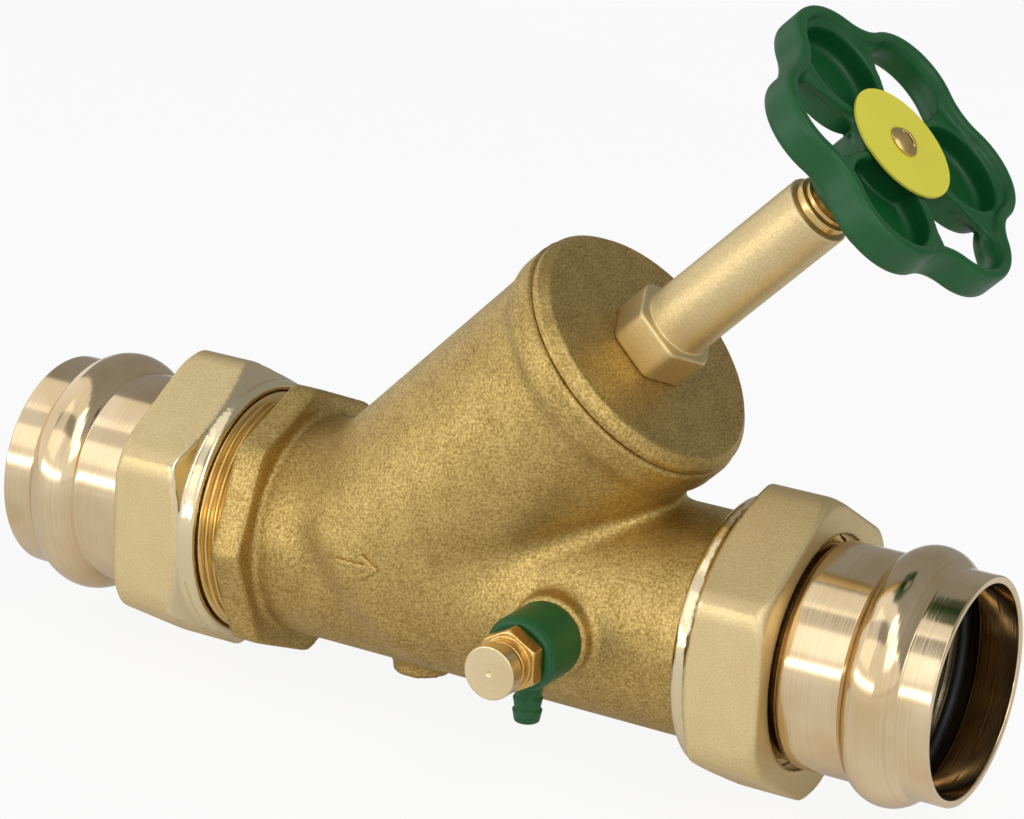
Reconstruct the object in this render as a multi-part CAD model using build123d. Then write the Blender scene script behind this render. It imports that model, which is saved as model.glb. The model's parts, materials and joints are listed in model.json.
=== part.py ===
from build123d import *
import os
from math import atan2, cos, degrees, pi, radians, sin, sqrt

# Oblique-seat stop valve, DN 50, with a union and a press socket at each end and a drain cock.
# Millimetres. Origin: centre of the inlet mouth. +X: along the pipe, with the flow. +Z: up.

# Common values
seal_play = 0.05            # room all round an O-ring in its groove
cut_margin = 1.0            # how far a cut runs past the face it opens

# Press sockets for copper or steel pipe
pipe_diameter = 54.0
socket_play = 0.15          # radial room between pipe and socket
socket_depth = 40.0         # how far the pipe goes in
socket_wall = 2.0
pipe_stop_height = 2.15     # step that the pipe butts against
mouth_chamfer = 0.5
bead_from_mouth = 16.2      # middle of the rolled bead
bead_half_width = 7.4
bead_rise = 3.9
press_seal_cord = 3.5
press_seal_room = 0.07      # between the seal's groove and the rolled bead

# Unions: tail, gasket and nut at each end
tail_flange_thickness = 5.0
tail_neck_wall = 3.0        # thin neck inside the nut
tail_step_slope = 1.3       # length of the cone from neck to sleeve
gasket_thickness = 2.0
nut_length = 25.0
nut_shoulder = 5.0          # inward lip that pulls the tail flange
nut_grip = 1.1              # radial overlap of lip and flange
nut_wall = 4.55             # thread to flat
nut_collar_length = 4.2
nut_corner_rounding = 1.6
nut_edge_chamfer = 1.2
union_thread_depth = 1.48
union_thread_play = 0.05
flange_play = 0.2
sleeve_reach = 41.5         # nut face to mouth

# Body casting
inlet_reach = 56.0          # crossing of the axes to the inlet end face
outlet_reach = 111.0
body_wall = 4.5
body_end_wall = 6.4         # under the union threads
octagon_across_flats = 69.5
octagon_from_crossing = 27.5
octagon_width = 8.5
octagon_chamfer = 1.2
outlet_thread_length = 12.0
outlet_thread_lead_in = 1.9
bonnet_angle = 45.0
barrel_margin = 5.0         # chamber radius over waterway radius
barrel_wall = 3.6
barrel_taper = 0.6          # draft of the casting
barrel_flare = 1.4          # thicker end under the bonnet
barrel_flare_length = 5.5
barrel_end_land = 6.0
barrel_plain_length = 6.2   # from where the barrel clears the pipe run to the flare
barrel_bottom_rounding = 6.0
crease_rounding = 4.0
seam_chamfer = 0.6

# Seat and partition, measured along the bonnet axis from the crossing
partition_bottom = -3.0
partition_thickness = 5.0
seat_step = 2.5             # waterway radius less seat radius
seat_lip_width = 3.5
seat_lip_height = 2.0

# Blank boss under the body
blank_boss_radius = 7.8
blank_boss_drop = 4.0
blank_boss_from_crossing = 8.0

# Bonnet cover
cover_rim_drop = 0.7        # rim radius less than the barrel end
cover_rim_height = 2.3
cover_rim_chamfer = 2.35
cover_spigot_depth = 13.0
cover_spigot_play = 0.1
counterbore_step = 1.0      # threaded counterbore over chamber radius
cover_seal_cord = 2.4
cover_seal_from_bottom = 3.2
guide_radius = 14.0
guide_wall = 5.0
guide_length = 38.0
cover_thickness = 13.65     # solid cover over the guide
guide_play = 0.07
key_height = 2.6
key_width = 6.0
key_play = 0.15
key_length = 4.0
guide_seal_cord = 2.4
guide_seal_from_bottom = 4.0

# Headwork: hexagon and long neck screwed into the cover
headwork_thread_radius = 9.95
headwork_thread_play = 0.05
headwork_foot_room = 2.0    # over the guide's ceiling
headwork_hex_across_flats = 22.0
headwork_hex_height = 10.6
headwork_hex_chamfer = 0.8
neck_radius = 9.25
neck_length = 61.35         # cover face to the neck's end
thrust_pocket_radius = 7.0

# Stem
stem_radius = 5.0
stem_play = 0.05
stem_end_room = 0.5
stem_collar_radius = 6.8
stem_collar_height = 3.0
thrust_washer_height = 1.0
stem_retainer_height = 5.8
axial_play = 0.1
stem_square = 7.0
stem_square_room = 2.5      # hub's foot to the square
stem_end_depth = 2.6        # square's end below the hub's face
stem_seal_cord = 1.8
stem_seal_depths = (37.0, 31.0)  # below the neck's end
gland_flange_radius = 7.9
gland_flange_height = 2.4
gland_spigot_radius = 7.0
gland_spigot_depth = 8.0
gland_play = 0.05
clip_radius = 6.9
clip_height = 1.2
clip_groove = 0.7

# Plug on its carrier, in the shut position
valve_lift = 24.0
carrier_thread_length = 14.0
carrier_top_room = 0.5
carrier_hollow_play = 0.6
plug_overlap = 2.0          # plug radius beyond the seat lip
plug_seal_thickness = 4.0
plug_skirt = 2.0            # wall that shrouds the seal
plug_disc_height = 6.0
plug_stud_radius = 6.0
plug_fit = 0.05
seal_retainer_height = 2.5
seal_retainer_play = 3.5    # radial room in the seat
plug_nut_across_flats = 18.0
plug_nut_height = 8.0
stud_end = 1.5

# Handwheel
wheel_radius = 39.9
wheel_waist = 33.9
wheel_lobe_arc = 15.5
wheel_lobes = 6
wheel_standoff = 20.0       # neck's end to the rim
wheel_height = 10.0
wheel_rim_wall = 3.2
wheel_rim_rounding = 1.1
wheel_web_drop = 3.0        # rim edge to web
wheel_web_thickness = 2.4
pocket_radius = 12.2
pocket_centre = 22.8
pocket_depth = 6.5
pocket_wall = 1.6
pocket_floor = 2.0
pocket_rounding = 1.6
window_rounding = 2.0
wheel_web_half_angle = 37.5
hub_radius = 10.0
hub_standoff = 6.5          # neck's end to the hub's foot
hub_land_radius = 13.2
hub_land_height = 0.6
square_fit = 0.05
disc_radius = 15.55
disc_thickness = 0.9
disc_edge_rounding = 0.25
screw_head_radius = 4.4
screw_head_height = 2.4
screw_shank_radius = 2.0
screw_length = 12.0
screw_fit = 0.05
screw_slot_width = 1.0
screw_slot_depth = 1.0

# Drain cock on the near side of the outlet, measured along its own axis from the pipe axis
drain_from_crossing = 63.2
drain_boss_radius = 10.8
drain_boss_height = 4.0
drain_boss_rounding = 2.0
drain_spigot_radius = 5.5
drain_thread_play = 0.05
drain_gasket_thickness = 1.2
drain_neck_radius = 7.0
drain_neck_length = 14.0
drain_hex_across_flats = 15.0
drain_hex_height = 5.0
drain_collar_radius = 6.4
drain_collar_height = 2.8
drain_bore_radius = 4.0
drain_inlet_radius = 2.0
drain_seat_depth = 2.0      # seat above the neck's foot
drain_port_radius = 1.5
spout_ring_radius = 9.9
spout_ring_taper = 1.0
spout_play = 0.1
spout_end_play = 0.3
spout_reach = 19.5
spout_radius = 3.2
spout_barb = 0.6
spout_barb_pitch = 3.2
spout_barbs = 3
spout_bore = 2.1
spout_seal_cord = 1.6
spout_seal_spread = 4.2     # each seal from the port
spindle_head_radius = 6.9
spindle_head_height = 4.4
spindle_head_gap = 1.4
spindle_head_edge = 0.35
spindle_play = 0.05
spindle_waist_radius = 2.2
spindle_waist_length = 5.0
spindle_foot_height = 1.0
spindle_seal_cord = 1.5
drain_washer_radius = 3.4
drain_washer_thickness = 1.5
drain_centre_mark = 0.8

# Radii that follow from the pipe
socket_radius = pipe_diameter / 2 + socket_play
sleeve_radius = socket_radius + socket_wall
waterway_radius = socket_radius - pipe_stop_height
body_radius = waterway_radius + body_wall
thread_root_radius = waterway_radius + body_end_wall
thread_crest_radius = thread_root_radius + union_thread_depth
nut_bore_radius = thread_root_radius + union_thread_play
tail_flange_radius = nut_bore_radius - flange_play
nut_hole_radius = tail_flange_radius - nut_grip
tail_neck_radius = waterway_radius + tail_neck_wall
nut_flat_radius = nut_bore_radius + nut_wall
chamber_radius = waterway_radius + barrel_margin
barrel_radius = chamber_radius + barrel_wall
barrel_end_radius = barrel_radius + barrel_taper + barrel_flare
seat_radius = waterway_radius - seat_step
seat_lip_radius = seat_radius + seat_lip_width

# Stations along the pipe
tail_length = tail_flange_thickness + nut_shoulder + sleeve_reach
crossing_x = tail_length + gasket_thickness + inlet_reach
inlet_face_x = crossing_x - inlet_reach
outlet_face_x = crossing_x + outlet_reach
drain_x = crossing_x + drain_from_crossing

# Stations along the bonnet axis
barrel_clear = (body_radius + barrel_radius * cos(radians(bonnet_angle))) / sin(radians(bonnet_angle))
barrel_flare_bottom = barrel_clear + barrel_plain_length
barrel_flare_top = barrel_flare_bottom + barrel_flare_length
barrel_length = barrel_flare_top + barrel_end_land
partition_top = partition_bottom + partition_thickness
seat_height = partition_top + seat_lip_height
cover_bottom = barrel_length - cover_spigot_depth
cover_face = barrel_length + cover_rim_height + cover_rim_chamfer
counterbore_radius = chamber_radius + counterbore_step
counterbore_bottom = cover_bottom - axial_play
cover_spigot_radius = counterbore_radius - cover_spigot_play
cover_seal_middle = cover_bottom + cover_seal_from_bottom
guide_ceiling = cover_face - cover_thickness
guide_bottom = guide_ceiling - guide_length
guide_seal_middle = guide_bottom + guide_seal_from_bottom
carrier_radius = guide_radius - guide_play
plug_bottom = seat_height + plug_seal_thickness
plug_top = plug_bottom + plug_disc_height
plug_radius = seat_lip_radius + plug_overlap
carrier_top = guide_ceiling - carrier_top_room - valve_lift
stem_bottom = carrier_top - carrier_thread_length + stem_end_room
retainer_bottom = seat_height - seal_retainer_height
nut_bottom = retainer_bottom - plug_nut_height
hex_top = cover_face + headwork_hex_height
headwork_bottom = guide_ceiling + headwork_foot_room
stem_retainer_top = headwork_bottom + stem_retainer_height
stem_collar_bottom = stem_retainer_top + axial_play
stem_collar_top = stem_collar_bottom + stem_collar_height
thrust_washer_bottom = stem_collar_top + axial_play
thrust_pocket_top = thrust_washer_bottom + thrust_washer_height
neck_top = cover_face + neck_length
stem_seal_stations = [neck_top - depth for depth in stem_seal_depths]
clip_bottom = neck_top + gland_flange_height + axial_play
wheel_back = neck_top + wheel_standoff
hub_bottom = neck_top + hub_standoff
stem_square_bottom = hub_bottom + stem_square_room
wheel_front = wheel_back + wheel_height
web_top = wheel_front - wheel_web_drop
land_top = web_top + hub_land_height
disc_top = land_top + disc_thickness
stem_top = land_top - stem_end_depth

# Stations along the drain axis
boss_face = body_radius + drain_boss_height
drain_foot = boss_face + drain_gasket_thickness
drain_hex_bottom = drain_foot + drain_neck_length
drain_hex_top = drain_hex_bottom + drain_hex_height
drain_collar_top = drain_hex_top + drain_collar_height
drain_port = drain_foot + drain_neck_length / 2
drain_seat = drain_foot + drain_seat_depth
drain_washer_top = drain_seat + drain_washer_thickness
spindle_head_bottom = drain_collar_top + spindle_head_gap
spindle_head_top = spindle_head_bottom + spindle_head_height
spindle_shank_radius = drain_bore_radius - spindle_play
spindle_seal_middle = drain_washer_top + 2 * spindle_foot_height + spindle_waist_length + spindle_seal_cord / 2

# Frames: the local Z axis runs along the pipe, the bonnet or the drain cock
bonnet_axis = (cos(radians(bonnet_angle)), 0, sin(radians(bonnet_angle)))
bonnet_side = (-sin(radians(bonnet_angle)), 0, cos(radians(bonnet_angle)))
bonnet_frame = Plane((crossing_x, 0, 0), bonnet_side, bonnet_axis).location
drain_frame = Plane((drain_x, 0, 0), (1, 0, 0), (0, -1, 0)).location


def pipe_frame(x, facing):
    # Local Z points along +X (facing 1) or -X (facing -1), local X points up.
    return Plane((x, 0, 0), (0, 0, 1), (facing, 0, 0)).location


def turned(points):
    # Solid of revolution about Z from corner points (radius, height).
    outline = Polyline(*[(radius, 0, height) for radius, height in points], close=True)
    return revolve(make_face(outline), Axis.Z)


def rod(radius, bottom, top):
    return Pos(0, 0, bottom) * Cylinder(radius, top - bottom, align=(Align.CENTER, Align.CENTER, Align.MIN))


def ring(inner, outer, bottom, top):
    return turned([(inner, bottom), (outer, bottom), (outer, top), (inner, top)])


def o_ring(inner, cord, middle):
    # Seal for a groove that starts at the inner radius and is one cord deep and wide.
    return Pos(0, 0, middle) * Torus(inner + cord / 2, cord / 2 - seal_play)


def seal_groove(inner, outer, cord, middle):
    return ring(inner, outer, middle - cord / 2, middle + cord / 2)


def prism(across_flats, sides, bottom, top, rotation=0):
    outline = RegularPolygon(across_flats / 2, sides, major_radius=False, rotation=rotation)
    return extrude(Pos(0, 0, bottom) * outline, top - bottom)


def corner_radius(across_flats, sides):
    return across_flats / 2 / cos(pi / sides)


def half_space(bottom, top):
    # Slab across the bonnet axis, wide enough for the whole casting.
    reach = 4 * outlet_reach
    return Pos(0, 0, bottom) * Box(reach, reach, top - bottom, align=(Align.CENTER, Align.CENTER, Align.MIN))


# Body casting


def barrel():
    # Slightly tapered barrel that thickens into a land under the bonnet.
    shell = turned([
        (0, partition_bottom),
        (barrel_radius, partition_bottom),
        (barrel_radius + barrel_taper, barrel_flare_bottom),
        (barrel_end_radius, barrel_flare_top),
        (barrel_end_radius, barrel_length - seam_chamfer),
        (barrel_end_radius - seam_chamfer, barrel_length),
        (0, barrel_length),
    ])
    foot = shell.edges().filter_by(GeomType.CIRCLE).sort_by(Axis.Z)[0]
    return bonnet_frame * fillet(foot, barrel_bottom_rounding)


def body_blank():
    # Outer form: pipe run, oblique barrel, octagon, union ends and two bosses.
    run = pipe_frame(crossing_x, 1) * rod(body_radius, -octagon_from_crossing - octagon_width, outlet_reach)
    upper = barrel()
    blank = run + upper
    blank = fillet(new_edges(run, upper, combined=blank), crease_rounding)

    boss = drain_frame * rod(drain_boss_radius, waterway_radius, boss_face)
    with_boss = blank + boss
    blank = fillet(new_edges(blank, boss, combined=with_boss), drain_boss_rounding)

    blank_boss = Pos(crossing_x + blank_boss_from_crossing, 0, -body_radius - blank_boss_drop) * Cylinder(
        blank_boss_radius, body_wall + blank_boss_drop, align=(Align.CENTER, Align.CENTER, Align.MIN))
    blank += blank_boss

    corner = corner_radius(octagon_across_flats, 8)
    octagon = prism(octagon_across_flats, 8, 0, octagon_width)
    octagon &= turned([
        (0, 0),
        (corner - octagon_chamfer, 0),
        (corner, octagon_chamfer),
        (corner, octagon_width - octagon_chamfer),
        (corner - octagon_chamfer, octagon_width),
        (0, octagon_width),
    ])
    blank += pipe_frame(crossing_x - octagon_from_crossing, -1) * octagon

    inlet_end = rod(thread_root_radius, octagon_from_crossing + octagon_width, inlet_reach)
    blank += pipe_frame(crossing_x, -1) * chamfer(
        inlet_end.edges().sort_by(Axis.Z)[-1], union_thread_depth / 2)

    lead_in_bottom = outlet_reach - outlet_thread_length - outlet_thread_lead_in
    outlet_end = turned([
        (0, lead_in_bottom),
        (body_radius, lead_in_bottom),
        (thread_root_radius, outlet_reach - outlet_thread_length),
        (thread_root_radius, outlet_reach - union_thread_depth / 2),
        (thread_root_radius - union_thread_depth / 2, outlet_reach),
        (0, outlet_reach),
    ])
    return blank + pipe_frame(crossing_x, 1) * outlet_end


def valve_body():
    below = bonnet_frame * half_space(-4 * outlet_reach, partition_bottom)
    above = bonnet_frame * half_space(partition_top, 4 * outlet_reach)
    bore = pipe_frame(crossing_x, 1) * rod(waterway_radius, -2 * inlet_reach, 2 * outlet_reach)
    chamber = bonnet_frame * rod(chamber_radius, partition_top, 2 * barrel_length)
    counterbore = bonnet_frame * rod(counterbore_radius, counterbore_bottom, 2 * barrel_length)
    seat_bore = bonnet_frame * rod(seat_radius, 2 * partition_bottom, seat_height)
    lip_foot = partition_top - partition_thickness / 2
    lip = bonnet_frame * ring(seat_radius, seat_lip_radius, lip_foot, seat_height)
    drain_hole = drain_frame * rod(drain_spigot_radius + drain_thread_play, 0, 2 * boss_face)

    casting = body_blank() - (bore & below) - (bore & above) - chamber - counterbore - seat_bore
    casting += lip
    return casting - drain_hole


# Unions


def press_tail():
    # From the gasket face (0) to the mouth: flange, neck, sleeve, rolled bead, mouth.
    mouth = tail_length
    bead = mouth - bead_from_mouth
    groove_half_width = bead_half_width - socket_wall
    neck_top_height = tail_flange_thickness + nut_shoulder + tail_step_slope / 2
    stop = mouth - socket_depth
    outline = [
        Polyline(
            (waterway_radius, 0, 0),
            (tail_flange_radius, 0, 0),
            (tail_flange_radius, 0, tail_flange_thickness),
            (tail_neck_radius, 0, tail_flange_thickness),
            (tail_neck_radius, 0, neck_top_height),
            (sleeve_radius, 0, neck_top_height + tail_step_slope),
            (sleeve_radius, 0, bead - bead_half_width),
        ),
        ThreePointArc(
            (sleeve_radius, 0, bead - bead_half_width),
            (sleeve_radius + bead_rise, 0, bead),
            (sleeve_radius, 0, bead + bead_half_width),
        ),
        Polyline(
            (sleeve_radius, 0, bead + bead_half_width),
            (sleeve_radius, 0, mouth - mouth_chamfer),
            (sleeve_radius - mouth_chamfer, 0, mouth),
            (socket_radius, 0, mouth),
            (socket_radius, 0, bead + groove_half_width),
        ),
        ThreePointArc(
            (socket_radius, 0, bead + groove_half_width),
            (socket_radius + bead_rise, 0, bead),
            (socket_radius, 0, bead - groove_half_width),
        ),
        Polyline(
            (socket_radius, 0, bead - groove_half_width),
            (socket_radius, 0, stop),
            (waterway_radius, 0, stop),
            (waterway_radius, 0, 0),
        ),
    ]
    edges = [edge for line in outline for edge in line.edges()]
    return revolve(make_face(edges), Axis.Z)


def press_seal():
    inner = socket_radius + bead_rise - press_seal_room - press_seal_cord
    return o_ring(inner, press_seal_cord, tail_length - bead_from_mouth)


def union_gasket():
    return ring(waterway_radius + flange_play, tail_flange_radius, 0, gasket_thickness)


def union_nut():
    # From the collar at the body (0) to the cast outer face.
    corner = corner_radius(2 * nut_flat_radius, 6)
    hexagon = prism(2 * nut_flat_radius, 6, 0, nut_length)
    hexagon = fillet(hexagon.edges().filter_by(Axis.Z), nut_corner_rounding)
    cone_length = (corner - nut_flat_radius) / 2
    envelope = turned([
        (0, 0),
        (nut_flat_radius - 2 * nut_edge_chamfer, 0),
        (nut_flat_radius - nut_edge_chamfer, nut_edge_chamfer),
        (nut_flat_radius - nut_edge_chamfer / 2, nut_collar_length),
        (corner, nut_collar_length + cone_length),
        (corner, nut_length - 2 * nut_edge_chamfer),
        (corner - 2 * nut_edge_chamfer, nut_length),
        (0, nut_length),
    ])
    thread_end = nut_length - nut_shoulder
    lead_in = thread_crest_radius + union_thread_depth / 2 - nut_bore_radius
    hole = turned([
        (0, -cut_margin),
        (nut_bore_radius + lead_in + cut_margin, -cut_margin),
        (nut_bore_radius, lead_in),
        (nut_bore_radius, thread_end),
        (nut_hole_radius, thread_end),
        (nut_hole_radius, nut_length + cut_margin),
        (0, nut_length + cut_margin),
    ])
    return (hexagon & envelope) - hole


# Bonnet


def bonnet_cover():
    rim = barrel_end_radius - cover_rim_drop
    rim_top = barrel_length + cover_rim_height
    guide_outer = guide_radius + guide_wall
    hole = headwork_thread_radius + headwork_thread_play
    blank = turned([
        (guide_radius, guide_bottom),
        (guide_outer, guide_bottom),
        (guide_outer, cover_bottom),
        (cover_spigot_radius, cover_bottom),
        (cover_spigot_radius, barrel_length),
        (rim - seam_chamfer, barrel_length),
        (rim, barrel_length + seam_chamfer),
        (rim, rim_top),
        (rim - cover_rim_chamfer, cover_face),
        (hole, cover_face),
        (hole, guide_ceiling),
        (guide_radius, guide_ceiling),
    ])
    guide_groove = seal_groove(
        guide_radius - cut_margin, guide_radius + guide_seal_cord, guide_seal_cord, guide_seal_middle)
    spigot_groove = seal_groove(
        cover_spigot_radius - cover_seal_cord, 2 * cover_spigot_radius, cover_seal_cord, cover_seal_middle)
    slot_bottom = carrier_top - key_length - carrier_top_room
    slot = Pos(0, 0, slot_bottom) * Box(
        2 * (carrier_radius + key_height + key_play), key_width + 2 * key_play, guide_ceiling - slot_bottom,
        align=(Align.CENTER, Align.CENTER, Align.MIN))
    return bonnet_frame * (blank - guide_groove - spigot_groove - slot)


def bonnet_o_ring():
    return bonnet_frame * o_ring(cover_spigot_radius - cover_seal_cord, cover_seal_cord, cover_seal_middle)


def guide_o_ring():
    return bonnet_frame * o_ring(guide_radius, guide_seal_cord, guide_seal_middle)


def headwork():
    # Threaded foot with the thrust pocket, wrench hexagon, long plain neck.
    bore = stem_radius + stem_play
    gland_bore = gland_spigot_radius + gland_play
    corner = corner_radius(headwork_hex_across_flats, 6)
    blank = rod(headwork_thread_radius, headwork_bottom, cover_face) + rod(neck_radius, cover_face, neck_top)
    hexagon = prism(headwork_hex_across_flats, 6, cover_face, hex_top) & turned([
        (0, cover_face),
        (corner, cover_face),
        (corner, hex_top - headwork_hex_chamfer),
        (corner - 2 * headwork_hex_chamfer, hex_top),
        (0, hex_top),
    ])
    hollow = rod(bore, headwork_bottom, neck_top)
    hollow += rod(thrust_pocket_radius, headwork_bottom, thrust_pocket_top)
    hollow += rod(gland_bore, neck_top - gland_spigot_depth, neck_top)
    return bonnet_frame * (blank + hexagon - hollow)


def stem_retainer():
    return bonnet_frame * ring(
        stem_radius + stem_play, thrust_pocket_radius - headwork_thread_play,
        headwork_bottom, stem_retainer_top)


def stem_thrust_washer():
    return bonnet_frame * ring(
        stem_radius + stem_play, thrust_pocket_radius - headwork_thread_play,
        thrust_washer_bottom, thrust_pocket_top)


def gland_bush():
    bush = ring(stem_radius + stem_play, gland_spigot_radius, neck_top - gland_spigot_depth, neck_top)
    return bonnet_frame * (bush + ring(
        stem_radius + stem_play, gland_flange_radius, neck_top, neck_top + gland_flange_height))


def stem():
    shaft = rod(stem_radius, stem_bottom, stem_square_bottom)
    shaft += rod(stem_collar_radius, stem_collar_bottom, stem_collar_top)
    square = Rectangle(stem_square, stem_square)
    shaft += extrude(Pos(0, 0, stem_square_bottom) * square, stem_top - stem_square_bottom)
    for station in stem_seal_stations:
        shaft -= seal_groove(stem_radius - stem_seal_cord, 2 * stem_radius, stem_seal_cord, station)
    shaft -= ring(stem_radius - clip_groove, 2 * stem_radius, clip_bottom, clip_bottom + clip_height)
    shaft -= rod(screw_shank_radius + screw_fit, disc_top - screw_length - cut_margin, stem_top)
    return bonnet_frame * shaft


def stem_o_rings():
    seals = [o_ring(stem_radius - stem_seal_cord, stem_seal_cord, station) for station in stem_seal_stations]
    return bonnet_frame * Compound(children=seals)


def stem_clip():
    # Open retaining ring that keeps the stem from dropping into the neck.
    clip = ring(stem_radius - clip_groove + stem_play, clip_radius, clip_bottom, clip_bottom + clip_height)
    mouth = Box(2 * clip_radius, stem_radius, 2 * clip_height)
    return bonnet_frame * (clip - Pos(clip_radius, 0, clip_bottom + clip_height / 2) * mouth)


# Plug


def plug_carrier():
    thread_bottom = carrier_top - carrier_thread_length
    hollow_bottom = stem_bottom - valve_lift - carrier_top_room
    blank = rod(carrier_radius, plug_top, carrier_top)
    blank += rod(plug_stud_radius, nut_bottom - stud_end, plug_top)
    key = Box(2 * (carrier_radius + key_height), key_width, key_length)
    blank += Pos(0, 0, carrier_top - key_length / 2) * key
    blank -= rod(stem_radius + carrier_hollow_play, hollow_bottom, thread_bottom)
    blank -= rod(stem_radius + stem_play, thread_bottom, carrier_top)
    return bonnet_frame * blank


def valve_plug():
    skirt_bottom = plug_bottom - plug_seal_thickness / 2
    hole = plug_stud_radius + plug_fit
    return bonnet_frame * turned([
        (hole, plug_bottom),
        (plug_radius - plug_skirt, plug_bottom),
        (plug_radius - plug_skirt, skirt_bottom),
        (plug_radius, skirt_bottom),
        (plug_radius, plug_top - plug_skirt),
        (plug_radius - plug_skirt, plug_top),
        (hole, plug_top),
    ])


def plug_seal():
    return bonnet_frame * ring(
        plug_stud_radius + plug_fit, plug_radius - plug_skirt - plug_fit, seat_height, plug_bottom)


def seal_retainer():
    return bonnet_frame * ring(
        plug_stud_radius + plug_fit, seat_radius - seal_retainer_play, retainer_bottom, seat_height)


def plug_nut():
    blank = prism(plug_nut_across_flats, 6, nut_bottom, retainer_bottom)
    return bonnet_frame * (blank - rod(plug_stud_radius + plug_fit, nut_bottom, retainer_bottom))


# Handwheel


def lobed_outline(inset):
    # Closed line of tangent arcs: a convex arc on each lobe, a hollow arc on each waist.
    half_turn = pi / wheel_lobes
    lobe_arc = wheel_lobe_arc - inset
    lobe_centre = wheel_radius - wheel_lobe_arc
    waist = wheel_waist - inset
    swing = lobe_centre * cos(half_turn)
    shortfall = lobe_arc ** 2 - lobe_centre ** 2 - waist ** 2 + 2 * waist * swing
    waist_arc = shortfall / (2 * (waist - swing - lobe_arc))
    waist_centre = Vector(waist + waist_arc, 0).rotate(Axis.Z, degrees(half_turn))
    lobe_tip = Vector(lobe_centre + lobe_arc, 0)
    towards = (waist_centre - Vector(lobe_centre, 0)).normalized()
    join = Vector(lobe_centre, 0) + towards * lobe_arc
    mirrored = Vector(join.X, -join.Y)
    waist_tip = Vector(waist, 0).rotate(Axis.Z, degrees(half_turn))
    next_join = mirrored.rotate(Axis.Z, degrees(2 * half_turn))
    wave = [ThreePointArc(mirrored, lobe_tip, join), ThreePointArc(join, waist_tip, next_join)]
    arcs = [Rot(0, 0, degrees(2 * half_turn * lobe)) * arc for lobe in range(wheel_lobes) for arc in wave]
    return make_face(Wire(arcs))


def at_pockets(sketch):
    return [Rot(0, 0, 360 / (wheel_lobes / 2) * index) * sketch for index in range(wheel_lobes // 2)]


def is_on_fan(corner):
    # True where a point lies on a straight side of a window.
    third = 720 / wheel_lobes
    from_pocket = abs((degrees(atan2(corner.Y, corner.X)) + third / 2) % third - third / 2)
    return abs(from_pocket - wheel_web_half_angle) < 0.01


def handwheel():
    # Moulded wheel: lobed rim, thin web with three closed pockets and three windows, hub with a square hole.
    inside = lobed_outline(wheel_rim_wall)
    web_bottom = web_top - wheel_web_thickness
    floor_top = web_top - pocket_depth
    floor_bottom = floor_top - pocket_floor
    wheel = extrude(Pos(0, 0, wheel_back) * lobed_outline(0), wheel_height)
    wheel -= extrude(Pos(0, 0, web_top) * inside, wheel_height)
    wheel = fillet(wheel.edges().group_by(Axis.Z)[-1], wheel_rim_rounding)
    wheel -= extrude(Pos(0, 0, web_bottom) * inside, -wheel_height)

    reach = 2 * wheel_radius
    spread = radians(wheel_web_half_angle)
    fan_corner = (reach * cos(spread), reach * sin(spread))
    fan = make_face(Polyline((0, 0), (fan_corner[0], -fan_corner[1]), fan_corner, close=True))
    window = inside - Circle(hub_land_radius)
    for web_part in at_pockets(fan):
        window -= web_part
    corners = [corner for corner in window.vertices() if is_on_fan(corner)]
    window = fillet(corners, window_rounding)
    wheel -= extrude(Pos(0, 0, web_bottom) * window, wheel_height, both=True)

    for cup in at_pockets(Pos(pocket_centre, 0, 0) * rod(pocket_radius + pocket_wall, floor_bottom, web_top)):
        wheel += cup
    wheel += turned([
        (0, hub_bottom),
        (hub_radius, hub_bottom),
        (hub_radius, floor_bottom),
        (hub_land_radius, web_bottom),
        (hub_land_radius, land_top),
        (0, land_top),
    ])
    hollow = Pos(pocket_centre, 0, 0) * rod(pocket_radius, floor_top, 2 * web_top)
    hollow = fillet(hollow.edges().group_by(Axis.Z)[0], pocket_rounding)
    for pocket in at_pockets(hollow):
        wheel -= pocket - rod(hub_land_radius, hub_bottom, land_top)
    side = stem_square + 2 * square_fit
    wheel -= extrude(Pos(0, 0, stem_square_bottom) * Rectangle(side, side), stem_top - stem_square_bottom)
    wheel -= rod(stem_radius + square_fit, hub_bottom, stem_square_bottom)
    wheel -= rod(screw_shank_radius + screw_fit, stem_top, land_top)
    return bonnet_frame * wheel


def wheel_disc():
    disc = ring(screw_shank_radius + screw_fit, disc_radius, land_top, disc_top)
    return bonnet_frame * fillet(
        disc.edges().filter_by(GeomType.CIRCLE).group_by(SortBy.RADIUS)[-1], disc_edge_rounding)


def wheel_screw():
    # Slotted screw with a raised round head.
    dome_radius = (screw_head_radius ** 2 + screw_head_height ** 2) / (2 * screw_head_height)
    dome = Pos(0, 0, disc_top + screw_head_height - dome_radius) * Sphere(dome_radius)
    head = dome & rod(screw_head_radius, disc_top, disc_top + screw_head_height)
    slot = Pos(0, 0, disc_top + screw_head_height) * Box(
        3 * screw_head_radius, screw_slot_width, 2 * screw_slot_depth)
    return bonnet_frame * (head + rod(screw_shank_radius, disc_top - screw_length, disc_top) - slot)


# Drain cock


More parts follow.
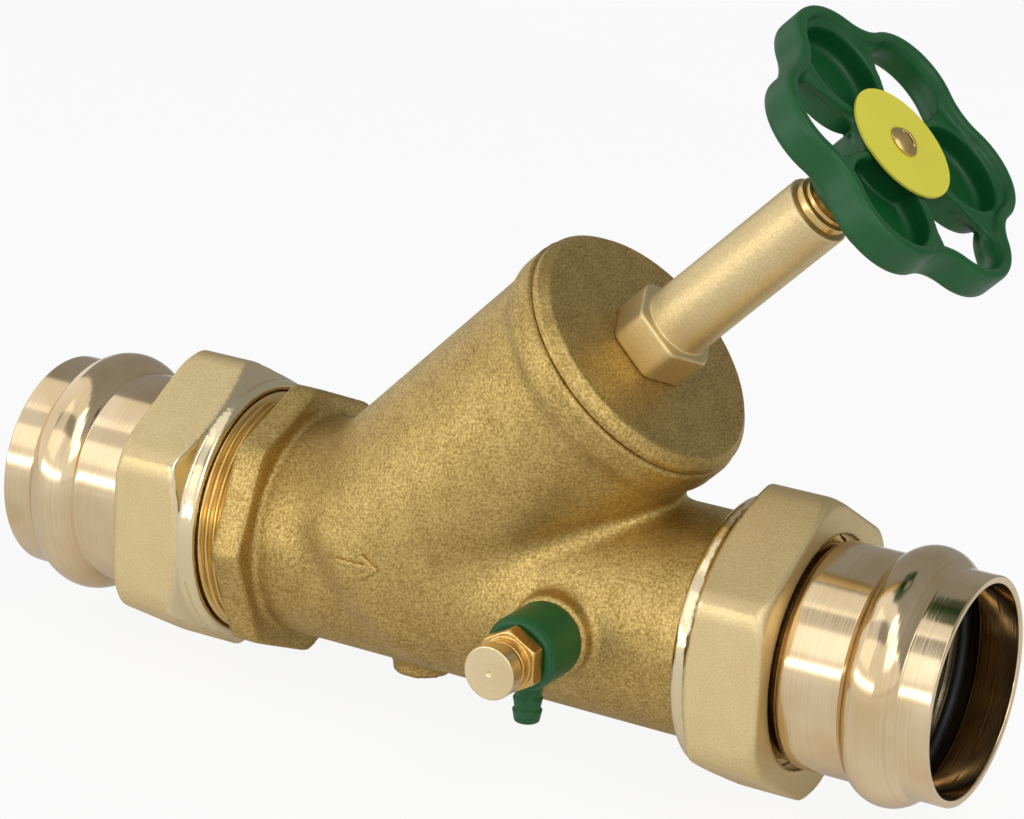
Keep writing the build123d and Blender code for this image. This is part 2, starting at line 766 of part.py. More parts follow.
def drain_body():
    blank = rod(drain_spigot_radius, sqrt(waterway_radius ** 2 - drain_spigot_radius ** 2), drain_foot)
    blank += rod(drain_neck_radius, drain_foot, drain_hex_bottom)
    blank += prism(drain_hex_across_flats, 6, drain_hex_bottom, drain_hex_top, rotation=30)
    blank += rod(drain_collar_radius, drain_hex_top, drain_collar_top)
    blank -= rod(drain_inlet_radius, 0, drain_seat)
    blank -= rod(drain_bore_radius, drain_seat, drain_collar_top)
    blank -= ring(
        drain_neck_radius - drain_port_radius / 2, 2 * drain_neck_radius,
        drain_port - drain_port_radius, drain_port + drain_port_radius)
    for angle in (0, 90):
        blank -= Pos(0, 0, drain_port) * Rot(90, 0, angle) * Cylinder(drain_port_radius, 4 * drain_neck_radius)
    for side in (-1, 1):
        middle = drain_port + side * spout_seal_spread
        groove_radius = drain_neck_radius - spout_seal_cord
        blank -= seal_groove(groove_radius, 2 * drain_neck_radius, spout_seal_cord, middle)
    return drain_frame * blank


def drain_gasket():
    return drain_frame * ring(
        drain_spigot_radius + drain_thread_play, drain_neck_radius, boss_face, drain_foot)


def spout_o_rings():
    inner = drain_neck_radius - spout_seal_cord
    seals = [o_ring(inner, spout_seal_cord, drain_port + side * spout_seal_spread) for side in (-1, 1)]
    return drain_frame * Compound(children=seals)


def drain_spout():
    # Swivel ring with a barbed hose tail that hangs down at rest.
    bore = drain_neck_radius + spout_play
    bottom = boss_face + spout_end_play
    top = drain_hex_bottom - spout_end_play
    ring_solid = turned([
        (bore, bottom),
        (spout_ring_radius, bottom),
        (spout_ring_radius, top - 2 * spout_ring_taper),
        (spout_ring_radius - spout_ring_taper, top),
        (bore, top),
    ])
    barb_start = spout_reach - spout_barbs * spout_barb_pitch
    tail = [(0, bore), (spout_radius, bore), (spout_radius, barb_start)]
    for index in range(spout_barbs):
        foot = barb_start + index * spout_barb_pitch
        tail.append((spout_radius + spout_barb, foot))
        tail.append((spout_radius, foot + spout_barb_pitch))
    tail.append((0, spout_reach))
    down = Plane((0, 0, drain_port), (1, 0, 0), (0, -1, 0)).location
    hose_tail = down * turned(tail)
    way = down * rod(spout_bore, drain_neck_radius - spout_play, spout_reach)
    hollow = rod(bore, bottom, top)
    return drain_frame * (ring_solid + hose_tail - hollow - way)


def drain_spindle():
    foot_top = drain_washer_top + spindle_foot_height
    waist_top = foot_top + spindle_waist_length
    blank = turned([
        (0, drain_washer_top),
        (drain_washer_radius, drain_washer_top),
        (drain_washer_radius, foot_top),
        (spindle_waist_radius, foot_top),
        (spindle_waist_radius, waist_top),
        (spindle_shank_radius, waist_top),
        (spindle_shank_radius, spindle_head_bottom),
        (spindle_head_radius - spindle_head_edge, spindle_head_bottom),
        (spindle_head_radius, spindle_head_bottom + spindle_head_edge),
        (spindle_head_radius, spindle_head_top - spindle_head_edge),
        (spindle_head_radius - spindle_head_edge, spindle_head_top),
        (drain_centre_mark, spindle_head_top),
        (0, spindle_head_top - drain_centre_mark),
    ])
    groove_radius = spindle_shank_radius - spindle_seal_cord
    groove = seal_groove(groove_radius, 2 * spindle_shank_radius, spindle_seal_cord, spindle_seal_middle)
    return drain_frame * (blank - groove)


def drain_spindle_o_ring():
    groove_radius = spindle_shank_radius - spindle_seal_cord
    return drain_frame * o_ring(groove_radius, spindle_seal_cord, spindle_seal_middle)


def drain_washer():
    return drain_frame * rod(drain_washer_radius, drain_seat, drain_washer_top)


nodes = {
    "valve_body": valve_body(),
    "bonnet_cover": bonnet_cover(),
    "bonnet_o_ring": bonnet_o_ring(),
    "guide_o_ring": guide_o_ring(),
    "headwork": headwork(),
    "stem_retainer": stem_retainer(),
    "stem_thrust_washer": stem_thrust_washer(),
    "gland_bush": gland_bush(),
    "stem": stem(),
    "stem_o_rings": stem_o_rings(),
    "stem_clip": stem_clip(),
    "plug_carrier": plug_carrier(),
    "valve_plug": valve_plug(),
    "plug_seal": plug_seal(),
    "seal_retainer": seal_retainer(),
    "plug_nut": plug_nut(),
    "handwheel": handwheel(),
    "wheel_disc": wheel_disc(),
    "wheel_screw": wheel_screw(),
    "drain_body": drain_body(),
    "drain_gasket": drain_gasket(),
    "spout_o_rings": spout_o_rings(),
    "drain_spout": drain_spout(),
    "drain_spindle": drain_spindle(),
    "drain_spindle_o_ring": drain_spindle_o_ring(),
    "drain_washer": drain_washer(),
}

# The two unions are alike: each is built outward from its end of the body
for end, face_x, facing in (("inlet", inlet_face_x, -1), ("outlet", outlet_face_x, 1)):
    tail_x = face_x + facing * gasket_thickness
    nut_x = tail_x + facing * (tail_flange_thickness + nut_shoulder - nut_length)
    nodes["union_gasket_" + end] = pipe_frame(face_x, facing) * union_gasket()
    nodes["press_tail_" + end] = pipe_frame(tail_x, facing) * press_tail()
    nodes["press_seal_" + end] = pipe_frame(tail_x, facing) * press_seal()
    nodes["union_nut_" + end] = pipe_frame(nut_x, facing) * union_nut()

os.makedirs("parts", exist_ok=True)
for name, solid in nodes.items():
    export_step(solid, "parts/" + name + ".step")
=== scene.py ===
import bpy
import bmesh
import json
import numpy as np
from mathutils import Matrix, Vector


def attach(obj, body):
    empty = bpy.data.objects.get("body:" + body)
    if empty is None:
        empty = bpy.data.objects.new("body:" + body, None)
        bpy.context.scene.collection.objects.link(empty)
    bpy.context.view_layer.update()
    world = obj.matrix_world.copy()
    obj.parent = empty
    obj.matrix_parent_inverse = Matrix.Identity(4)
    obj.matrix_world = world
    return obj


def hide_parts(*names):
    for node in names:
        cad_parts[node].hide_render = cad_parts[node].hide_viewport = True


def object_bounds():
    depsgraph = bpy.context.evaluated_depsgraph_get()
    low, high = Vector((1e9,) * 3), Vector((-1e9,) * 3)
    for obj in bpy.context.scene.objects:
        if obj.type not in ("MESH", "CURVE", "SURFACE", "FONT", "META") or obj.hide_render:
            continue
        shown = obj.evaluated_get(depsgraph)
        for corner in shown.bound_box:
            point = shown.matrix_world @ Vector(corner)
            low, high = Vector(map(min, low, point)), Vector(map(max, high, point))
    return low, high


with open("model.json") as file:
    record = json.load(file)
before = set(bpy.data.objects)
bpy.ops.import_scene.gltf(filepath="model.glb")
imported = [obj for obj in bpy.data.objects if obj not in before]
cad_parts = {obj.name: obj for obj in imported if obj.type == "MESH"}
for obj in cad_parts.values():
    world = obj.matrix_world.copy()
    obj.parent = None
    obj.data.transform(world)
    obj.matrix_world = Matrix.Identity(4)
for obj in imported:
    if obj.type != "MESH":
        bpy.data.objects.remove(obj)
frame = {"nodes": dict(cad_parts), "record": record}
cadLow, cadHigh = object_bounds()
nodes = frame["nodes"]
mm = 0.001
mergeWithin = 1e-7
print("frame loaded:", len(nodes), "nodes")

# places of the three axes, in mm: pipe along x, bonnet at 45 degrees, drain cock towards -y
crossingX = 109.5
inletFaceX = 53.5
outletFaceX = 220.5
drainX = 172.7
slant = np.sqrt(0.5)
bonnetFrame = ((crossingX, 0, 0), (-slant, 0, slant), (0, -1, 0), (slant, 0, slant))
drainFrame = ((drainX, 0, 0), (1, 0, 0), (0, 0, 1), (0, -1, 0))


def pipeFrame(x, facing):
    return ((x, 0, 0), (0, 0, 1), (0, -facing, 0), (facing, 0, 0))


def placed(points, place):
    # origin + u * side + v * other side + t * axis
    origin, side, other, axis = [np.array(part, float) for part in place]
    return origin + points[:, :1] * side + points[:, 1:2] * other + points[:, 2:3] * axis


# building blocks for shapes

def softMin(a, b, width):
    # the smaller of two fields, with a rounded hollow of that width where they meet
    share = np.clip(0.5 + 0.5 * (b - a) / width, 0, 1)
    return b + (a - b) * share - width * share * (1 - share)


def softMax(a, b, width):
    # the larger of two fields, with the edge rounded over that width
    return -softMin(-a, -b, width)


def ramp(value, start, end):
    # smooth step: 0 before start, 1 after end, 3t^2 - 2t^3 between
    share = np.clip((value - start) / (end - start), 0, 1)
    return share * share * (3 - 2 * share)


def beyond(value, start, end):
    # how far a value lies outside a span, below 0 inside it
    return np.abs(value - (start + end) / 2) - (end - start) / 2


def folded(a, b, sides):
    # largest distance from the axis, square to the flats of a regular prism with a corner on axis a
    turn = 2 * np.pi / sides
    return np.hypot(a, b) * np.cos(np.mod(np.arctan2(b, a), turn) - turn / 2)


# moves onto a surface: how many, reach of the slope and longest move in grid steps, least squared slope
settling = {"passes": 4, "reach": 0.05, "longest": 0.4, "leastSquared": 0.05}


def fieldSurface(field, low, high, step):
    # surface where field(x, y, z) is 0: one point in each grid cell that it crosses, at the mean of the
    # crossings on the cell's edges, then moved along the field's slope onto the surface;
    # one quad round each crossed edge
    ticks = [np.arange(a, b + step, step) for a, b in zip(low, high)]
    values = field(*np.meshgrid(*ticks, indexing="ij"))
    inside = values < 0
    size = np.array(values.shape) - 1
    corners = np.array([(i, j, k) for i in (0, 1) for j in (0, 1) for k in (0, 1)])
    count = sum(inside[i:i + size[0], j:j + size[1], k:k + size[2]].astype(np.int8) for i, j, k in corners)
    cells = np.argwhere((count > 0) & (count < 8))
    atCorner = np.stack([values[tuple((cells + corner).T)] for corner in corners], 1)
    total = np.zeros((len(cells), 3))
    hits = np.zeros(len(cells))
    for a, b in [(a, b) for a in range(8) for b in range(a) if np.abs(corners[a] - corners[b]).sum() == 1]:
        crossed = (atCorner[:, a] < 0) != (atCorner[:, b] < 0)
        share = np.where(crossed, atCorner[:, a] / np.where(crossed, atCorner[:, a] - atCorner[:, b], 1), 0)
        total += (corners[a] + share[:, None] * (corners[b] - corners[a])) * crossed[:, None]
        hits += crossed
    points = (cells + total / hits[:, None]) * step + np.array([tick[0] for tick in ticks])
    reach = settling["reach"] * step
    for _ in range(settling["passes"]):
        slope = np.stack([
            (field(*(points + offset).T) - field(*(points - offset).T)) / (2 * reach)
            for offset in np.eye(3) * reach], 1)
        steepness = np.maximum((slope ** 2).sum(1), settling["leastSquared"])
        move = slope * (field(*points.T) / steepness)[:, None]
        far = np.maximum(np.linalg.norm(move, axis=1) / (settling["longest"] * step), 1)
        points -= move / far[:, None]
    number = np.full(size, -1)
    number[tuple(cells.T)] = np.arange(len(cells))
    faces = []
    for axis in range(3):
        stepB, stepC = np.eye(3, dtype=int)[(axis + 1) % 3], np.eye(3, dtype=int)[(axis + 2) % 3]
        edges = np.argwhere(np.diff(inside.astype(np.int8), axis=axis) != 0)
        edges = edges[((edges >= stepB + stepC) & (edges < size)).all(1)]
        backs = (stepB + stepC, stepC, 0 * stepB, stepB)
        quad = np.stack([number[tuple((edges - back).T)] for back in backs], 1)
        outward = inside[tuple(edges.T)]
        faces.append(np.where(outward[:, None], quad, quad[:, ::-1]))
    return points, np.concatenate(faces)


def rounded(profile, radius, steps=4):
    # closed line with each corner cut back by the radius, or by 0.3 of the shorter side where that is less,
    # and bridged by a parabola, with a point close by on each side
    here = np.array(profile, float)
    before, after = np.roll(here, 1, 0) - here, np.roll(here, -1, 0) - here
    lengthBefore, lengthAfter = np.linalg.norm(before, axis=1), np.linalg.norm(after, axis=1)
    cut = np.minimum(radius, 0.3 * np.minimum(lengthBefore, lengthAfter))[:, None]
    start = here + before / lengthBefore[:, None] * cut
    end = here + after / lengthAfter[:, None] * cut
    t = np.linspace(0, 1, steps + 1)[None, :, None]
    arc = start[:, None] * (1 - t) ** 2 + 2 * here[:, None] * t * (1 - t) + end[:, None] * t ** 2
    held = [(start + 0.5 * (start - here))[:, None], arc, (end + 0.5 * (end - here))[:, None]]
    return np.concatenate(held, 1).reshape(-1, 2)


def gridFaces(i, nextI, j, nextJ, width):
    # one quad for each cell of a grid of points in rows of that width
    corners = [i * width + j, nextI * width + j, nextI * width + nextJ, i * width + nextJ]
    return np.stack(corners, 2).reshape(-1, 4)


def turnedSurface(profile, segments):
    # profile (radius, height) carried round the axis: (r cos a, r sin a, h) on a grid of a and profile points
    line = np.array(profile, float)
    width = len(line)
    angle = np.arange(segments) * 2 * np.pi / segments
    points = np.stack([
        np.outer(np.cos(angle), line[:, 0]), np.outer(np.sin(angle), line[:, 0]),
        np.broadcast_to(line[:, 1], (segments, width))], 2).reshape(-1, 3)
    i, j = np.meshgrid(np.arange(segments), np.arange(width), indexing="ij")
    return points, gridFaces(i, (i + 1) % segments, j, (j + 1) % width, width)


def turnedShape(form):
    return turnedSurface(rounded(form["profile"], form["edge"]), form["around"])


def addPiece(name, shape, place, material, body, replaces=(), recalc=False, marks=None):
    points, faces = shape
    world = placed(points, place) * mm
    mesh = bpy.data.meshes.new(name)
    mesh.vertices.add(len(world))
    mesh.vertices.foreach_set("co", world.astype(np.float32).ravel())
    mesh.loops.add(faces.size)
    mesh.loops.foreach_set("vertex_index", faces.astype(np.int32).ravel())
    mesh.polygons.add(len(faces))
    mesh.polygons.foreach_set("loop_start", np.arange(len(faces), dtype=np.int32) * faces.shape[1])
    for mark, values in (marks or {}).items():
        mesh.attributes.new(mark, "FLOAT", "POINT").data.foreach_set("value", values.astype(np.float32))
    mesh.update(calc_edges=True)
    if recalc:
        work = bmesh.new()
        work.from_mesh(mesh)
        bmesh.ops.remove_doubles(work, verts=work.verts, dist=mergeWithin)
        bmesh.ops.recalc_face_normals(work, faces=work.faces)
        work.to_mesh(mesh)
        work.free()
    mesh.shade_smooth()
    mesh.materials.append(material)
    piece = bpy.data.objects.new(name, mesh)
    bpy.context.scene.collection.objects.link(piece)
    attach(piece, body)
    if replaces:
        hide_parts(*replaces)
    print("piece", name, len(mesh.polygons), "faces")


# materials

def linear(hexColour):
    # sRGB hex to linear
    value = np.array([int(hexColour[i:i + 2], 16) for i in (1, 3, 5)]) / 255
    return (*np.where(value <= 0.04045, value / 12.92, ((value + 0.055) / 1.055) ** 2.4), 1)


def addNode(tree, kind, settings, inputs):
    node = tree.nodes.new(kind)
    for key, value in settings.items():
        setattr(node, key, value)
    for key, value in inputs.items():
        if isinstance(value, bpy.types.NodeSocket):
            tree.links.new(value, node.inputs[key])
        else:
            node.inputs[key].default_value = value
    return node


def newMaterial(name, sockets):
    material = bpy.data.materials.new(name)
    material.use_nodes = True
    tree = material.node_tree
    shader = tree.nodes["Principled BSDF"]
    for key, value in sockets.items():
        shader.inputs[key].default_value = value
    place = tree.nodes.new("ShaderNodeTexCoord").outputs["Object"]
    return material, tree, shader, place


def feed(tree, shader, sockets):
    for key, value in sockets.items():
        tree.links.new(value, shader.inputs[key])


def noise(tree, place, size, detail, roughness=0.5):
    # cloudy pattern, its size in mm
    inputs = {"Vector": place, "Scale": 1000 / size, "Detail": detail, "Roughness": roughness}
    return addNode(tree, "ShaderNodeTexNoise", {}, inputs).outputs["Fac"]


def rescaled(tree, value, fromSpan, toSpan=(0.0, 1.0), smooth=False):
    settings = {"interpolation_type": "SMOOTHSTEP"} if smooth else {}
    spans = {"From Min": fromSpan[0], "From Max": fromSpan[1], "To Min": toSpan[0], "To Max": toSpan[1]}
    return addNode(tree, "ShaderNodeMapRange", settings, {"Value": value, **spans}).outputs[0]


def mixed(tree, share, first, second):
    return addNode(tree, "ShaderNodeMix", {}, {0: share, 2: first, 3: second}).outputs[0]


def mixedColour(tree, share, first, second):
    return addNode(tree, "ShaderNodeMix", {"data_type": "RGBA"}, {0: share, 6: first, 7: second}).outputs[2]


def mixedShader(tree, share, first, second):
    return addNode(tree, "ShaderNodeMixShader", {}, {0: share, 1: first, 2: second}).outputs[0]


def calculated(tree, operation, *inputs):
    return addNode(tree, "ShaderNodeMath", {"operation": operation}, dict(enumerate(inputs))).outputs[0]


def bumped(tree, height, depth, strength=1.0):
    # normal of a relief, its depth in mm
    inputs = {"Height": height, "Distance": depth * mm, "Strength": strength}
    return addNode(tree, "ShaderNodeBump", {}, inputs).outputs["Normal"]


castLook = {
    "light": "#d6ba77", "dark": "#977b41", "grain": 0.65, "mottle": 7.0, "depth": 0.25,
    "roughness": (0.40, 0.56)}
blastedLook = {
    "light": "#e4d0a0", "dark": "#d2ba86", "turned": "#e8d8b2", "grain": 0.5, "mottle": 9.0, "depth": 0.14,
    "roughness": (0.40, 0.50)}
castBlend = {
    "mottleShare": 0.18, "span": (0.3, 0.7), "bump": 0.55, "turnedRoughness": 0.17, "turnedBump": 0.03}


def castBrass(name, look, turnedMark=False):
    # cast or blasted brass: matt gold with an open grain; where it is marked as turned, brighter and smooth
    material, tree, shader, place = newMaterial(name, {"Metallic": 1.0})
    grain = noise(tree, place, look["grain"], 4.0, 0.6)
    mottle = noise(tree, place, look["mottle"], 3.0)
    tone = mixed(tree, castBlend["mottleShare"], grain, mottle)
    spread = rescaled(tree, tone, castBlend["span"], smooth=True)
    colour = mixedColour(tree, spread, linear(look["dark"]), linear(look["light"]))
    smoothest, roughest = look["roughness"]
    roughness = rescaled(tree, grain, castBlend["span"], (roughest, smoothest))
    strength = castBlend["bump"]
    if turnedMark:
        mark = addNode(tree, "ShaderNodeAttribute", {"attribute_name": "turned"}, {}).outputs["Fac"]
        colour = mixedColour(tree, mark, colour, linear(look["turned"]))
        roughness = mixed(tree, mark, roughness, castBlend["turnedRoughness"])
        strength = rescaled(tree, mark, (0.0, 1.0), (castBlend["bump"], castBlend["turnedBump"]))
    normal = bumped(tree, grain, look["depth"], strength)
    feed(tree, shader, {"Base Color": colour, "Roughness": roughness, "Normal": normal})
    return material


turnedLook = {"cloud": 14.0, "ringShare": 0.4, "span": (0.45, 0.95)}


def turnedMetal(name, light, dark, roughness, lines, axis, depth=0.02):
    # metal turned on a lathe: smooth, with faint rings across the axis, drawn coarser than real ones to show
    material, tree, shader, place = newMaterial(name, {"Metallic": 1.0, "Roughness": roughness})
    inputs = {"W": axis(tree, place), "Scale": 1000 / lines, "Detail": 2.0}
    rings = addNode(tree, "ShaderNodeTexNoise", {"noise_dimensions": "1D"}, inputs).outputs["Fac"]
    cloud = noise(tree, place, turnedLook["cloud"], 2.0)
    tone = calculated(tree, "MULTIPLY_ADD", rings, turnedLook["ringShare"], cloud)
    spread = rescaled(tree, tone, turnedLook["span"])
    colour = mixedColour(tree, spread, linear(dark), linear(light))
    feed(tree, shader, {"Base Color": colour, "Normal": bumped(tree, rings, depth)})
    return material


def alongX(tree, place):
    return addNode(tree, "ShaderNodeSeparateXYZ", {}, {0: place}).outputs["X"]


def roundDrain(tree, place):
    # distance from the drain cock's axis
    inputs = {"Vector": place, "Location": (-drainX * mm, 0, 0), "Scale": (1, 0, 1)}
    centred = addNode(tree, "ShaderNodeMapping", {}, inputs).outputs[0]
    return addNode(tree, "ShaderNodeVectorMath", {"operation": "LENGTH"}, {0: centred}).outputs["Value"]


def alongBonnet(tree, place):
    inputs = {0: place, 1: (slant, 0, slant)}
    return addNode(tree, "ShaderNodeVectorMath", {"operation": "DOT_PRODUCT"}, inputs).outputs["Value"]


mouldedLook = {
    "ior": 1.45, "cloud": 12.0, "span": (0.3, 0.7), "roughnessHalf": 0.05, "grain": 0.6, "depth": 0.02}


def mouldedPlastic(name, light, dark, roughness):
    # moulded plastic or rubber: even colour with slight clouding and a fine grain
    look = mouldedLook
    material, tree, shader, place = newMaterial(name, {"IOR": look["ior"]})
    cloud = noise(tree, place, look["cloud"], 3.0)
    fine = noise(tree, place, look["grain"], 2.0)
    colour = mixedColour(tree, cloud, linear(dark), linear(light))
    roughSpan = (roughness - look["roughnessHalf"], roughness + look["roughnessHalf"])
    rough = rescaled(tree, cloud, look["span"], roughSpan)
    normal = bumped(tree, fine, look["depth"])
    feed(tree, shader, {"Base Color": colour, "Roughness": rough, "Normal": normal})
    return material


castBody = castBrass("brassSandCast", castLook)
castNut = castBrass("brassBlastedWithTurnedCollar", blastedLook, turnedMark=True)
blastedNeck = castBrass("brassFineBlasted", blastedLook)
threadBrass = turnedMetal("brassCutThread", "#e4c686", "#cba966", 0.24, 0.5, alongX)
drainBrass = turnedMetal("brassTurnedHexagon", "#e2bf7c", "#cda55f", 0.26, 0.6, alongX)
faceBrass = turnedMetal("brassFaceTurned", "#f0dcb4", "#e2c796", 0.3, 0.8, roundDrain, 0.03)
stemBrass = turnedMetal("brassTurnedStem", "#e2c48a", "#cba968", 0.26, 0.6, alongBonnet)
gunmetal = turnedMetal("gunmetalPolished", "#e8d2ae", "#d6bb90", 0.14, 0.7, alongX)
greenMoulded = mouldedPlastic("greenPolyamideMoulded", "#0a5a29", "#074a20", 0.42)
yellowMoulded = mouldedPlastic("yellowPolystyreneMatt", "#e2da48", "#dad140", 0.55)
whiteMoulded = mouldedPlastic("whitePtfeMachined", "#e4e4de", "#d6d6cf", 0.5)
blackRubber = mouldedPlastic("blackEpdmRubber", "#18181a", "#0e0e10", 0.5)
print("materials made")

# valve body casting
bodyForm = {
    "run": 29.5, "runSpan": (75.0, 212.0), "barrel": 33.6, "taper": 0.6, "flare": 1.4,
    "flareSpan": (81.5, 87.0), "joint": 93.0, "foot": -3.0, "footRound": 9.0, "crease": 5.0,
    "octagon": (73.5, 82.0, 34.75, 37.2), "octagonBlend": 1.4, "threadRoot": 31.4, "threadTo": 76.0,
    "outletFrom": 200.0, "outletStep": (206.6, 208.5), "drainBoss": (10.8, 33.5, 22.0), "drainBlend": 2.2,
    "blankBoss": (117.5, 7.8, 33.5, 20.0), "blankBlend": 3.0, "edge": 0.8, "bossEdge": 1.0,
    "box": ((51.9, -39.5, -39.5), (222.0, 39.5, 92.5)), "step": 1.15}
hollowForm = {
    "waterway": 25.0, "inletTo": -3.0, "outletFrom": 2.0, "chamber": 30.0, "spigotBore": 31.0,
    "spigotFrom": 79.9, "seatBore": 22.5, "seatSpan": (-6.0, 4.0), "lip": (22.5, 26.0),
    "lipSpan": (-0.5, 4.0), "drainHole": 5.55}


def bodyOuter(x, y, z):
    # pipe run and oblique barrel joined by a rounded hollow, with octagon, union ends and bosses;
    # s runs along the barrel's axis and e across it
    form = bodyForm
    s, e = (x - crossingX + z) * slant, (z - x + crossingX) * slant
    round45, roundPipe = np.hypot(e, y), np.hypot(y, z)
    flareFrom, flareTo = form["flareSpan"]
    barrelRadius = form["barrel"] + form["taper"] * np.clip(s / flareFrom, 0, 1)
    barrelRadius = barrelRadius + form["flare"] * ramp(s, flareFrom, flareTo)
    barrel = softMax(round45 - barrelRadius, form["foot"] - s, form["footRound"])
    barrel = softMax(barrel, s - form["joint"], form["edge"])
    run = np.maximum(roundPipe - form["run"], beyond(x, *form["runSpan"]))
    outer = softMin(barrel, run, form["crease"])
    bossRadius, bossTop, bossRoot = form["drainBoss"]
    boss = softMax(np.hypot(x - drainX, z) - bossRadius, -y - bossTop, form["bossEdge"])
    outer = softMin(outer, np.maximum(boss, y + bossRoot), form["drainBlend"])
    blankX, blankRadius, blankTop, blankRoot = form["blankBoss"]
    blank = softMax(np.hypot(x - blankX, y) - blankRadius, -z - blankTop, form["bossEdge"])
    outer = softMin(outer, np.maximum(blank, z + blankRoot), form["blankBlend"])
    left, right, flat, corner = form["octagon"]
    octagon = softMax(folded(z, y, 8) - flat, roundPipe - corner, form["edge"])
    octagon = softMax(octagon, beyond(x, left, right), form["octagonBlend"])
    outer = softMin(outer, octagon, form["octagonBlend"])
    root, (stepFrom, stepTo) = form["threadRoot"], form["outletStep"]
    outer = np.minimum(outer, np.maximum(roundPipe - root, beyond(x, inletFaceX, form["threadTo"])))
    outletEnd = form["run"] + (root - form["run"]) * np.clip((x - stepFrom) / (stepTo - stepFrom), 0, 1)
    return np.minimum(outer, np.maximum(roundPipe - outletEnd, beyond(x, form["outletFrom"], outletFaceX)))


def valveBodyField(x, y, z):
    # outer form less the waterway, the barrel's chamber and the drain's hole, with the seat's lip
    form = hollowForm
    s, e = (x - crossingX + z) * slant, (z - x + crossingX) * slant
    round45, water = np.hypot(e, y), np.hypot(y, z) - form["waterway"]
    cavity = np.minimum(np.maximum(water, s - form["inletTo"]), np.maximum(water, form["outletFrom"] - s))
    cavity = np.minimum(cavity, np.maximum(round45 - form["chamber"], form["outletFrom"] - s))
    cavity = np.minimum(cavity, np.maximum(round45 - form["spigotBore"], form["spigotFrom"] - s))
    cavity = np.minimum(cavity, np.maximum(round45 - form["seatBore"], beyond(s, *form["seatSpan"])))
    casting = np.maximum(bodyOuter(x, y, z), -cavity)
    casting = np.minimum(casting, np.maximum(beyond(round45, *form["lip"]), beyond(s, *form["lipSpan"])))
    return np.maximum(casting, -np.maximum(np.hypot(x - drainX, z) - form["drainHole"], y))


bodyFrame = ((0, 0, 0), (1, 0, 0), (0, 1, 0), (0, 0, 1))
bodyShape = fieldSurface(valveBodyField, *bodyForm["box"], bodyForm["step"])
addPiece("valveBodyCasting", bodyShape, bodyFrame, castBody, "valve", ["valve_body"])

# cast arrow for the flow, on the front of the barrel
arrowForm = {
    "tail": (110.5, 6.0), "tip": (122.0, 6.0), "barb": (4.0, 2.6), "stroke": 0.8, "raised": 0.9, "edge": 0.5,
    "box": ((109.0, -36.0, 1.5), (123.5, -29.0, 10.5)), "step": 0.25}


def strokeDistance(x, z, start, end):
    # distance from a line between two points: the part across, or the distance from the nearer end
    run = np.array(end) - start
    share = np.clip(((x - start[0]) * run[0] + (z - start[1]) * run[1]) / (run @ run), 0, 1)
    return np.hypot(x - start[0] - share * run[0], z - start[1] - share * run[1])


def flowArrowField(x, y, z):
    # three strokes in x and z, kept within a layer over and under the casting's surface
    tip, (back, out) = arrowForm["tip"], arrowForm["barb"]
    starts = [arrowForm["tail"], (tip[0] - back, tip[1] - out), (tip[0] - back, tip[1] + out)]
    strokes = np.minimum.reduce([strokeDistance(x, z, start, tip) for start in starts]) - arrowForm["stroke"]
    return softMax(strokes, np.abs(bodyOuter(x, y, z)) - arrowForm["raised"], arrowForm["edge"])


arrowShape = fieldSurface(flowArrowField, *arrowForm["box"], arrowForm["step"])
addPiece("flowArrow", arrowShape, bodyFrame, castBody, "valve")

# ridges of the inlet's union thread
threadForm = {
    "pitch": 2.309, "root": 31.38, "crest": 32.85, "from": 64.4, "to": 75.6, "sunk": 0.6, "crestShare": 0.12,
    "fade": 0.3, "across": 9, "aroundTurn": 120}


def threadRidge(form):
    # ridge of a V section with a narrow flat crest, carried along a helix: (from + pitch * turns, r cos a,
    # r sin a); its height fades over the first and last part of a turn
    turns = (form["to"] - form["from"] - form["pitch"]) / form["pitch"]
    u = np.linspace(0, turns, int(turns * form["aroundTurn"]))[:, None]
    v = np.linspace(-0.5, 0.5, form["across"])[None, :]
    rise = np.clip((0.5 - np.abs(v)) / (0.5 - form["crestShare"] / 2), 0, 1)
    fade = ramp(u, 0, form["fade"]) * ramp(turns - u, 0, form["fade"])
    radius = form["root"] + (form["crest"] - form["root"]) * rise * fade
    x = form["from"] + form["pitch"] * (u + 0.5 + v)
    angle = 2 * np.pi * u + 0 * v
    points = np.stack([x, radius * np.cos(angle), radius * np.sin(angle)], 2)
    sunk = form["root"] - form["sunk"]
    inner = np.stack([x, sunk * np.cos(angle), sunk * np.sin(angle)], 2)[:, ::-1]
    rows, width = len(u), 2 * form["across"]
    grid = np.concatenate([points, inner], 1).reshape(-1, 3)
    i, j = np.meshgrid(np.arange(rows - 1), np.arange(width), indexing="ij")
    faces = gridFaces(i, i + 1, j, (j + 1) % width, width)
    k = np.arange(form["across"] - 1)
    for row in (0, rows - 1):
        cap = row * width + np.stack([k, k + 1, width - 2 - k, width - 1 - k], 1)
        faces = np.concatenate([faces, cap])
    return grid, faces


addPiece("inletThread", threadRidge(threadForm), bodyFrame, threadBrass, "valve", recalc=True)

# union nuts, which draw the tails' flanges and their gaskets to the body
ends = (("inlet", inletFaceX, -1), ("outlet", outletFaceX, 1))
unionForm = {"gasketThick": 2.0, "flangeThick": 5.0}
nutForm = {
    "length": 25.0, "flat": 36.0, "corner": 40.9, "cornerRound": 1.6, "collar": 4.2, "collarRadius": 35.2,
    "collarBevel": 1.2, "bevelRound": 0.4, "coneSlope": 2.1, "coneRound": 0.7, "bore": 31.45, "lip": 20.0,
    "lipRadius": 30.15, "leadIn": 2.2, "edge": 2.4, "edgeRound": 1.0, "faceRound": 1.2, "mouthRound": 0.5,
    "turnedWithin": 33.0, "turnedTo": 24.0, "markSpan": (-0.2, 0.2), "boreMark": 0.5,
    "box": ((-42.4, -42.4, -0.9), (42.4, 42.4, 26.2)), "step": 0.8}


